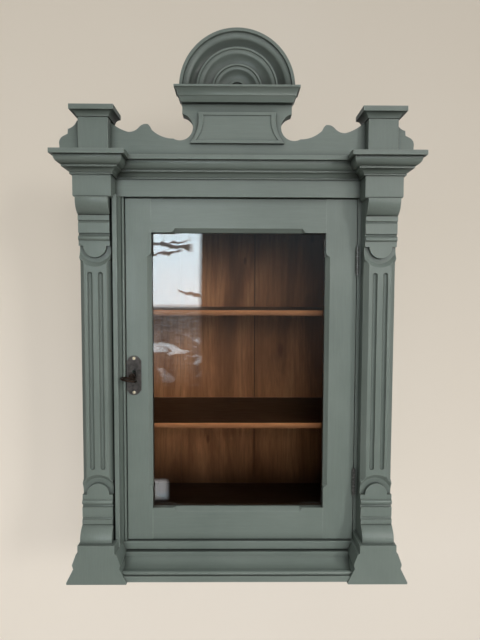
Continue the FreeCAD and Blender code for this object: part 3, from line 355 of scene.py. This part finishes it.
def wood_tone(g, grain, knots=()):
    """Stained pine: growth rings that bend round knots, with long fibres and darker pores."""
    axes = dict(zip("xyz", g.axes()))
    across, deep = RING_AXES[grain]
    ring = g.plus(axes[across], g.times(axes[deep], RING_SLOPE))
    drift = g.noise(5, GRAIN_SOFT[grain], detail=3, distortion=0.4)
    ring = g.plus(ring, g.times(drift, RING_DRIFT))
    heart = 0.0
    for x, z, size in knots:
        aside = g.maths("DIVIDE", g.minus(axes["x"], x), size)
        along = g.maths("DIVIDE", g.minus(axes["z"], z), size * KNOT_LENGTH)
        away = g.plus(g.maths("POWER", aside, 2.0), g.maths("POWER", along, 2.0))
        swell = g.maths("POWER", math.e, g.times(away, -1.0))
        ring = g.plus(ring, g.times(swell, size * KNOT_SWELL))
        heart = g.larger(heart, g.span(swell, 0.90, 0.985))
    rings = g.maths("SINE", g.times(ring, RING_TURNS))
    fibres = g.noise(620, GRAIN[grain], detail=4)
    figure = g.noise(14, GRAIN_SOFT[grain], detail=5, distortion=0.8)
    streaks = g.noise(150, GRAIN[grain], detail=6)
    tone = g.blend(g.span(figure, 0.30, 0.72), STAIN_DARK, STAIN)
    tone = g.blend(g.span(figure, 0.40, 0.70, 0.15, 0.85), tone, STAIN_PALE)
    late = g.times(g.span(rings, 0.1, 1.0, 0, 0.26), g.span(figure, 0.3, 0.7, 0.2, 1.0))
    tone = g.blend(late, tone, STAIN_DARK)
    tone = g.blend(g.span(streaks, 0.34, 0.60, 0.28, 0.0), tone, STAIN_DARK)
    tone = g.blend(g.span(fibres, 0.36, 0.60, 0.26, 0.0), tone, STAIN_DARK)
    tone = g.blend(g.times(heart, 0.8), tone, STAIN_DARK)
    return tone, rings, fibres


def raw_pine(g, fibres, rings):
    """Bare old pine, as on the side that faces the wall."""
    tone = g.blend(g.span(rings, 0.2, 1.0, 0, 0.5), PINE, PINE_DARK)
    tone = g.blend(g.span(fibres, 0.38, 0.60, 0.40, 0.0), tone, PINE_DARK)
    return g.blend(g.span(g.noise(7, detail=5), 0.40, 0.70, 0, 0.45), tone, PINE_DARK)


def brushed(g, streaks, fine):
    """Brushed paint's own colour: faint patches, with pale and dark brush marks."""
    patches = g.noise(9, detail=6, distortion=0.4)
    tone = g.blend(g.span(patches, 0.33, 0.68), PAINT_DARK, PAINT_PALE)
    tone = g.blend(0.60, tone, PAINT)
    tone = g.blend(g.span(streaks, 0.42, 0.72, 0, 0.26), tone, PAINT_PALE)
    return g.blend(g.span(fine, 0.50, 0.75, 0, 0.16), tone, PAINT_DARK)


def aged(g, tone, grime_and_shade, reach):
    """Rubbed edges and small chips, and dirt with painted shade darkening hollows and creases."""
    rubbed = g.span(g.edges(RUB_REACH), 0.03, 0.22, 0, 0.75)
    tone = g.blend(g.times(rubbed, g.span(g.noise(55, detail=6), 0.28, 0.60)), tone, PAINT_WORN)
    chipped = g.span(g.edges(CHIP_REACH), 0.08, 0.2, 0, 0.7)
    tone = g.blend(g.times(chipped, g.span(g.noise(160, detail=4), 0.66, 0.70)), tone, STAIN_DARK)
    # Dirt with painted shade: darker deep in hollows and in tight creases.
    tone = g.blend(g.span(g.openness(reach), 0.45, 0.98, grime_and_shade, 0.0), tone, CREVICE_DIRT_AND_SHADE)
    return g.blend(g.span(g.openness(CREASE_REACH), 0.12, 0.66, 0.82, 0.0), tone, CREVICE_DIRT_AND_SHADE)


def paint(name, grain, grime_and_shade, reach=FLAT_HOLLOW):
    """Satin grey-green paint: brush marks, wear, dirt and painted shade in hollows, painted shadow
    in the pilaster's gap; stained inside.
    """
    g = Graph(name)
    streaks = g.noise(420, GRAIN[grain], detail=5)
    fine = g.noise(1500, GRAIN[grain], detail=2)
    tone = aged(g, brushed(g, streaks, fine), grime_and_shade, reach)
    # Painted shadow: the open gap by the left pilaster is near black and has little sheen.
    gap = g.within(*GAP)
    tone = g.blend(g.times(gap, 0.95), tone, GAP_PAINTED_SHADOW)
    tone = g.blend(g.within(*INSIDE), tone, wood_tone(g, grain)[0])
    relief = g.plus(g.times(streaks, 0.8), g.times(fine, 0.35))
    relief = g.plus(relief, g.times(g.noise(900, detail=3), 0.5))
    shine = g.span(g.noise(60, GRAIN[grain]), 0.3, 0.7, 0.31, 0.45)
    return g.surface(tone, shine, relief, 0.16, BRUSH_DEPTH,
                     Specular_IOR_Level=g.span(gap, 0, 1, 0.50, 0.05))


def smoke(g):
    """How dark the back is painted: shade low down, under the top and on the right board, and dark
    lines along the joints.
    """
    x, _, z = g.axes()
    low = g.span(z, *BACK_SHADE_LOW, 0.88, 0.05)
    high = g.span(z, *BACK_SHADE_HIGH, 0.0, 0.70)
    right = g.times(g.above(x, BOARD_JOINTS[1]), g.span(x, *BACK_SHADE_RIGHT, 0.12, 0.16))
    dark = g.larger(low, g.larger(high, right))
    for joint, shade in zip(BOARD_JOINTS, BOARD_JOINT_SHADES):
        away = g.maths("ABSOLUTE", g.minus(x, joint))
        dark = g.larger(dark, g.span(away, *BOARD_JOINT_LINE, shade, 0.0))
    return dark


def stain(name, grain, knots=(), depth_of_tone=0.0):
    """Stained pine inside, rubbed pale on the front edges of the shelves with painted shade on
    their lower part, and bare at the wall.
    """
    g = Graph(name)
    tone, rings, fibres = wood_tone(g, grain, knots)
    # Painted shade on the back: darker low down, under the top and on the right board; a given
    # depth_of_tone darkens a board evenly instead.
    tone = g.blend(depth_of_tone or smoke(g), tone, DEEP_STAIN_AND_SHADE)
    _, depth, height = g.axes()
    rubbed = g.blend(g.span(fibres, 0.40, 0.62, 0.0, 0.30), STAIN_RUBBED, STAIN_PALE)
    # Painted shade: the lower part of each shelf's front edge is darker than its lit top.
    for low, high in SHELF_EDGES:
        under = g.times(g.above(height, low), g.span(height, low, high, 0.75, 0.0))
        rubbed = g.blend(g.times(under, g.above(high, height)), rubbed, STAIN_DARK)
    front = g.times(g.above(SHELF_FRONT + SKIN, depth), g.above(depth, SHELF_FRONT - SKIN))
    tone = g.blend(front, tone, rubbed)
    tone = g.blend(g.above(depth, BACK_PLANE), tone, raw_pine(g, fibres, rings))
    relief = g.plus(fibres, g.times(rings, 0.12))
    shine = g.span(fibres, 0.3, 0.7, 0.34, 0.52)
    return g.surface(tone, shine, relief, 0.22, FIBRE_DEPTH, Specular_IOR_Level=0.28)


def metal(name, dark, pale, polish, metallic=1.0, scale=160):
    """Handled metal: clouded tone, fine scratches, uneven polish and brighter edges."""
    g = Graph(name)
    clouds = g.noise(scale, detail=6, distortion=0.5)
    scratches = g.noise(2600, (0.05, 1, 1), detail=2)
    tone = g.blend(g.span(clouds, 0.32, 0.68), dark, pale)
    bright = tuple(min(1.0, value * BRIGHT_EDGE_GAIN) for value in pale)
    tone = g.blend(g.span(g.edges(METAL_EDGE_REACH), 0.04, 0.25, 0, 0.6), tone, bright)
    relief = g.plus(clouds, g.times(scratches, 0.4))
    shine = g.span(clouds, 0.3, 0.7, *polish)
    return g.surface(tone, shine, relief, 0.10, SCRATCH_DEPTH, Metallic=metallic)


def clear_glass():
    """Old drawn glass: faintly uneven, and open to light so that the inside is lit."""
    g = Graph("glass")
    ripple = g.noise(7, (1, 1, 0.5), detail=2)
    bump = g.add("ShaderNodeBump", Strength=0.05, Distance=RIPPLE_DEPTH, Height=ripple)
    pane = g.add("ShaderNodeBsdfPrincipled", Base_Color=PANE, Roughness=0.0,
                 Transmission_Weight=1.0, IOR=1.45, Normal=bump.outputs[0])
    through = g.add("ShaderNodeBsdfTransparent", Color=PANE_SHADOW)
    return g.finish(g.mix(g.rays("Is Shadow Ray"), pane, through))


def dress(material, *names):
    """Give nodes one material."""
    for name in names:
        slots = nodes[name].data.materials
        slots.clear()
        slots.append(material)


def soften(*names):
    """Break the sharp edges of wooden pieces, as paint and handling do."""
    for name in names:
        weld = nodes[name].modifiers.new("weld", "WELD")
        weld.merge_threshold = WELD_DISTANCE
        bevel = nodes[name].modifiers.new("rounding", "BEVEL")
        bevel.width = EDGE_ROUNDING
        bevel.segments = ROUNDING_STEPS
        bevel.limit_method = "ANGLE"
        bevel.angle_limit = math.radians(ROUNDED_FROM_DEGREES)
        bevel.harden_normals = True


def pair(stem):
    return [f"{stem}_left", f"{stem}_right"]


# Painted pieces by the way that their brush marks run, and by how dark their hollows are painted
# with dirt and shade.
UPRIGHT = [*pair("face_stile"), *pair("tower_block"), *pair("frieze_block"), *pair("foot_block"),
           "left_side_panel", "right_side_panel", "lock_side_strip", "door_lock_stile",
           "door_hinge_stile"]
CARVED = [*pair("pilaster"), *pair("upper_console"), *pair("lower_console")]
LEVEL = ["frieze_rail", "bottom_rail", "base_moulding", "crest_board", "crest_plate",
         "door_top_rail", "door_bottom_rail"]
MOULDED = ["cornice_centre", *pair("cornice_front"), "crest_cap", "crest_lunette",
           *pair("tower_cap")]
INWARD = [*pair("base_return"), *pair("cornice_side"), *pair("cornice_inner"), "cornice_deck"]


def dress_cabinet():
    """Give every node its material, and hand back the steel that the screws share."""
    dress(paint("paint_upright", "z", 0.32), *UPRIGHT)
    dress(paint("paint_carved", "z", 0.60, CARVED_HOLLOW), *CARVED)
    dress(paint("paint_level", "x", 0.80), *LEVEL)
    dress(paint("paint_moulded", "x", 1.0, MOULDED_HOLLOW), *MOULDED)
    dress(paint("paint_inward", "y", 0.75), *INWARD)
    soften(*UPRIGHT, *CARVED, *LEVEL, *MOULDED, *INWARD)
    dress(stain("stain_back", "z", BACK_KNOTS),
          "back_board_left", "back_board_middle", "back_board_right")
    dress(stain("stain_level", "x", depth_of_tone=0.95),
          "upper_shelf", "lower_shelf", "top_panel", "bottom_panel", "glazing_beads")
    dress(clear_glass(), "glass_pane")
    metals = {name: metal(name, **look) for name, look in METALS.items()}
    dress(metals["hinge_steel"], "hinge_frame_leaves", "hinge_door_leaves", "hinge_pins")
    dress(metals["steel"], "lock_case", "lock_bolt", "hanger_plates")
    dress(metals["dark_steel"], "escutcheon")
    dress(metals["iron"], "key")
    dress(metals["brass"], "escutcheon_pins")
    return metals["steel"]


def screw_head(radius, dome, slot):
    """A slotted head: two halves of a dome, with the slot's floor between them."""
    points, faces = [], []
    row = SCREW_STEPS + 1
    start = math.asin(slot / radius)
    reach = radius * math.cos(start)
    for sign in (1, -1):
        base = len(points)
        for rim, rise in SCREW_RINGS:
            for step in range(row):
                angle = start + (math.pi - 2 * start) * step / SCREW_STEPS
                side = max(radius * rim * math.sin(angle), slot)
                points.append((radius * rim * math.cos(angle), sign * side, dome * rise))
        half = []
        for ring in range(2):
            for step in range(SCREW_STEPS):
                low = base + ring * row + step
                half.append((low, low + 1, low + row + 1, low + row))
        half.append(tuple(base + 2 * row + step for step in range(row)))
        floor = len(points)
        points += [(reach, sign * slot, -dome), (-reach, sign * slot, -dome)]
        half.append((floor + 1, base + row - 1, base + 2 * row - 1, base + 3 * row - 1,
                     base + 2 * row, base + row, base, floor))
        faces += [face if sign > 0 else face[::-1] for face in half]
    first = 3 * row
    second = 2 * first + 2
    faces.append((first, first + 1, second + 1, second))
    return points, faces


def nail_head(radius, dome):
    """A cut nail's head: a flat crown with a hammered, uneven rim."""
    points, faces = [], []
    for rim, rise in NAIL_RINGS:
        for step in range(NAIL_STEPS):
            angle = 2 * math.pi * step / NAIL_STEPS
            uneven = 1 + NAIL_UNEVENNESS * math.sin(3 * angle + 1)
            points.append((radius * rim * uneven * math.cos(angle), radius * rim * math.sin(angle),
                           dome * rise))
    for ring in range(2):
        for step in range(NAIL_STEPS):
            low = ring * NAIL_STEPS + step
            after = ring * NAIL_STEPS + (step + 1) % NAIL_STEPS
            faces.append((low, after, after + NAIL_STEPS, low + NAIL_STEPS))
    faces.append(tuple(range(2 * NAIL_STEPS, 3 * NAIL_STEPS)))
    return points, faces


def heads(name, shape, places, outward, body, material):
    """Copies of one head in one piece, each turned a little differently, that rides on a body."""
    points, faces = [], []
    upright = Vector(outward).to_track_quat("Z", "Y").to_matrix()
    for number, place in enumerate(places):
        turn = upright @ Matrix.Rotation(FIRST_TURN + NEXT_TURN * number, 3, "Z")
        start = len(points)
        points += [turn @ Vector(point) + Vector(place) for point in shape[0]]
        faces += [tuple(start + index for index in face) for face in shape[1]]
    mesh = bpy.data.meshes.new(name)
    mesh.from_pydata(points, [], faces)
    mesh.materials.append(material)
    item = bpy.data.objects.new(name, mesh)
    bpy.context.scene.collection.objects.link(item)
    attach(item, body)


def hinge_screws(steel):
    """Three staggered screws in each leaf."""
    low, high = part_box("hinge_frame_leaves")
    rows = [(high.y - LEAF_SCREW_INSET - LEAF_SCREW_STAGGER * (row % 2),
             centre + (row - 1) * LEAF_SCREW_PITCH)
            for centre in (low.z + HINGE_HEIGHT / 2, high.z - HINGE_HEIGHT / 2)
            for row in range(3)]
    screw = screw_head(*LEAF_SCREW)
    frame_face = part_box("face_stile_right")[0].x - LEAF_PROUD
    heads("hinge_frame_screws", screw, [(frame_face, y, z) for y, z in rows], (-1, 0, 0),
          "cabinet", steel)
    door_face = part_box("door_hinge_stile")[1].x + LEAF_PROUD
    heads("hinge_door_screws", screw, [(door_face, y, z) for y, z in rows], (1, 0, 0),
          "door", steel)


def fasteners(steel):
    """Screws in the hinges, the lock case and the hangers, and nails in the back boards."""
    hinge_screws(steel)
    low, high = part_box("lock_case")
    case = [(x, high.y, z) for x in (low.x + CASE_SCREW_INSET, high.x - CASE_SCREW_INSET)
            for z in (low.z + CASE_SCREW_INSET, high.z - CASE_SCREW_INSET)]
    heads("lock_case_screws", screw_head(*CASE_SCREW), case, (0, 1, 0), "door", steel)
    low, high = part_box("hanger_plates")
    straps = [(x, high.y, low.z + rise)
              for x in (low.x + HANGER_WIDTH / 2, high.x - HANGER_WIDTH / 2)
              for rise in HANGER_SCREW_RISES]
    heads("hanger_screws", screw_head(*HANGER_SCREW), straps, (0, 1, 0), "cabinet", steel)
    boards = [(x, left_wall[1].y, z) for x in NAIL_COLUMNS for z in NAIL_ROWS]
    heads("back_nails", nail_head(*BACK_NAIL), boards, (0, 1, 0), "cabinet", steel)


def pale(g, colour, share, strength):
    """A matt stage surface, partly self-lit to the camera so that its shadows stay soft."""
    tone = g.blend(g.span(g.noise(1.5), 0.3, 0.7, 0.0, 0.08), colour, STAGE_MOTTLE)
    surface = g.add("ShaderNodeBsdfPrincipled", Base_Color=tone, Roughness=0.9,
                    Specular_IOR_Level=0.1)
    glow = g.add("ShaderNodeEmission", Color=tone, Strength=strength)
    return g.mix(g.times(g.seen(), share), surface, glow)


def plane(name, width, depth, place, turn, material):
    """A flat piece of the stage."""
    mesh = bpy.data.meshes.new(name)
    x, y = width / 2, depth / 2
    mesh.from_pydata([(-x, -y, 0), (x, -y, 0), (x, y, 0), (-x, y, 0)], [], [(0, 1, 2, 3)])
    item = bpy.data.objects.new(name, mesh)
    item.location = place
    item.rotation_euler = turn
    mesh.materials.append(material)
    bpy.context.scene.collection.objects.link(item)
    return item


LYING = (0, 0, 0)
STANDING = (math.radians(90), 0, 0)


def wall():
    """A pale wall that shows only from the front, painted darker higher up and glowing more to the
    left.
    """
    g = Graph("wall")
    x, height, _ = g.axes()
    # Painted shade and light: the wall darkens higher up, and glows more to the left.
    tone = g.blend(g.span(height, *WALL_SHADE_HEIGHTS, 0.0, 0.36), WALL, WALL_SHADED)
    surface = pale(g, tone, 0.48, g.span(x, *WALL_GLOW_PLACES, 1.16, 0.95))
    front = g.minus(1.0, g.add("ShaderNodeNewGeometry").outputs["Backfacing"])
    shown = g.times(g.seen(), front)
    item = g.mix(shown, g.add("ShaderNodeBsdfTransparent"), surface)
    plane("wall", WALL_SIZE, WALL_SIZE, (0, WALL_GAP, 0), STANDING, g.finish(item))


def branches(g, x, z):
    """Thin crooked bands, one for each branch."""
    mask = 0.0
    crook = g.times(g.minus(g.noise(9, detail=5), 0.5), BRANCH_CROOK)
    for height, slope, half, start, end in BRANCHES:
        line = g.plus(g.times(g.plus(x, BRANCH_MIDDLE), slope), height)
        away = g.maths("ABSOLUTE", g.minus(z, g.plus(line, crook)))
        band = g.span(away, half * 0.6, half, 1.0, 0.0)
        length = g.between(x, (start, start + BRANCH_START_FADE), (end - BRANCH_END_FADE, end))
        mask = g.larger(mask, g.times(band, length))
    return mask


def room():
    """The room behind the camera, as the pane mirrors it: dim, with a bright window on the left."""
    g = Graph("room")
    x, z, _ = g.axes()
    sky = g.between(z, SKY_FOOT, SKY_HEAD)
    sky = g.times(sky, g.minus(1.0, g.times(branches(g, x, z), 0.93)))
    scrub = g.span(g.noise(14, (1, 4, 1), detail=8, distortion=0.6), 0.35, 0.70, 0.4, 1.7)
    drifts = g.noise(5, (1, 2.6, 1), detail=6, distortion=0.5, shift=(0.3, 0.1, 0))
    snow = g.times(g.span(drifts, 0.52, 0.60, 0.0, 7.0), g.span(z, *SNOW_HEAD, 1.0, 0.0))
    land = g.times(g.between(z, LAND_FOOT, LAND_HEAD), g.plus(scrub, snow))
    light = g.plus(g.times(sky, g.span(z, *SKY_GLOW_HEIGHTS, 11.0, 13.4)), land)
    light = g.times(light, g.between(x, WINDOW_LEFT, WINDOW_RIGHT))
    sill = g.times(g.between(z, SILL_FOOT, SILL_HEAD), g.span(x, *SILL_RIGHT, 1.0, 0.0))
    dim = g.plus(g.span(z, *ROOM_GLOW_HEIGHTS, 0.0, 0.32), g.times(sill, 3.4))
    strength = g.plus(light, g.times(dim, g.span(x, *WINDOW_LEFT)))
    cold = g.larger(sky, g.span(snow, 0.0, 3.0))
    colour = g.blend(cold, ROOM_GREY, ROOM_COLD)
    glow = g.add("ShaderNodeEmission", Color=colour, Strength=strength)
    item = g.mix(g.mirrored(), g.add("ShaderNodeBsdfTransparent"), glow)
    card = plane("room", ROOM_WIDTH, ROOM_HEIGHT, (0, -ROOM_AWAY, 0), STANDING, g.finish(item))
    card.visible_camera = False
    card.visible_diffuse = False
    card.visible_shadow = False


def floor():
    """A plain pale floor that the pane does not mirror."""
    g = Graph("floor")
    surface = pale(g, FLOOR, 0.5, 0.85)
    item = g.mix(g.mirrored(), surface, g.add("ShaderNodeBsdfTransparent"))
    plane("floor", FLOOR_SIZE, FLOOR_SIZE, (0, 0, -FLOOR_DROP), LYING, g.finish(item))


def stage():
    wall()
    room()
    floor()


def lamp(name, place, target, size, watts, spread, colour, glossy=False):
    """A soft lamp that shines at a target, and shows in the pane only where it is glossy."""
    data = bpy.data.lights.new(name, "AREA")
    data.shape = "RECTANGLE"
    data.size, data.size_y = size
    data.energy = watts
    data.spread = math.radians(spread)
    data.color = colour
    item = bpy.data.objects.new(name, data)
    item.location = place
    item.rotation_euler = (Vector(target) - Vector(place)).to_track_quat("-Z", "Y").to_euler()
    item.visible_glossy = glossy
    item.visible_transmission = glossy
    bpy.context.scene.collection.objects.link(item)


def light():
    """The lamps, a soft ambient light, and a pale backdrop for what the camera sees."""
    for values in LAMPS:
        lamp(**values)
    g = Graph("world", "World")
    ambient = g.add("ShaderNodeBackground", Color=AMBIENT, Strength=AMBIENT_STRENGTH)
    backdrop = g.add("ShaderNodeBackground", Color=BACKDROP, Strength=1.0)
    bpy.context.scene.world = g.finish(g.mix(g.seen(), ambient, backdrop))


def camera():
    """The photograph's camera."""
    pitch, yaw, roll = (math.radians(a) for a in (CAMERA_PITCH, CAMERA_YAW, CAMERA_ROLL))
    right = Vector((math.cos(yaw), math.sin(yaw), 0))
    ahead = Vector((-math.sin(yaw) * math.cos(pitch), math.cos(yaw) * math.cos(pitch),
                    -math.sin(pitch)))
    up = right.cross(ahead)
    across = right * math.cos(roll) + up * math.sin(roll)
    above = up * math.cos(roll) - right * math.sin(roll)
    data = bpy.data.cameras.new("camera")
    data.sensor_width = SENSOR_MM
    data.lens = SENSOR_MM * FOCAL_PX / PHOTO_HEIGHT_PX
    data.clip_start = NEAREST_SEEN
    item = bpy.data.objects.new("camera", data)
    turned = Matrix((across, above, -ahead)).transposed().to_4x4()
    item.matrix_world = Matrix.Translation(CAMERA_PLACE) @ turned
    bpy.context.scene.collection.objects.link(item)
    bpy.context.scene.camera = item


fasteners(dress_cabinet())
stage()
light()
camera()
bpy.context.scene.view_settings.view_transform = "Standard"
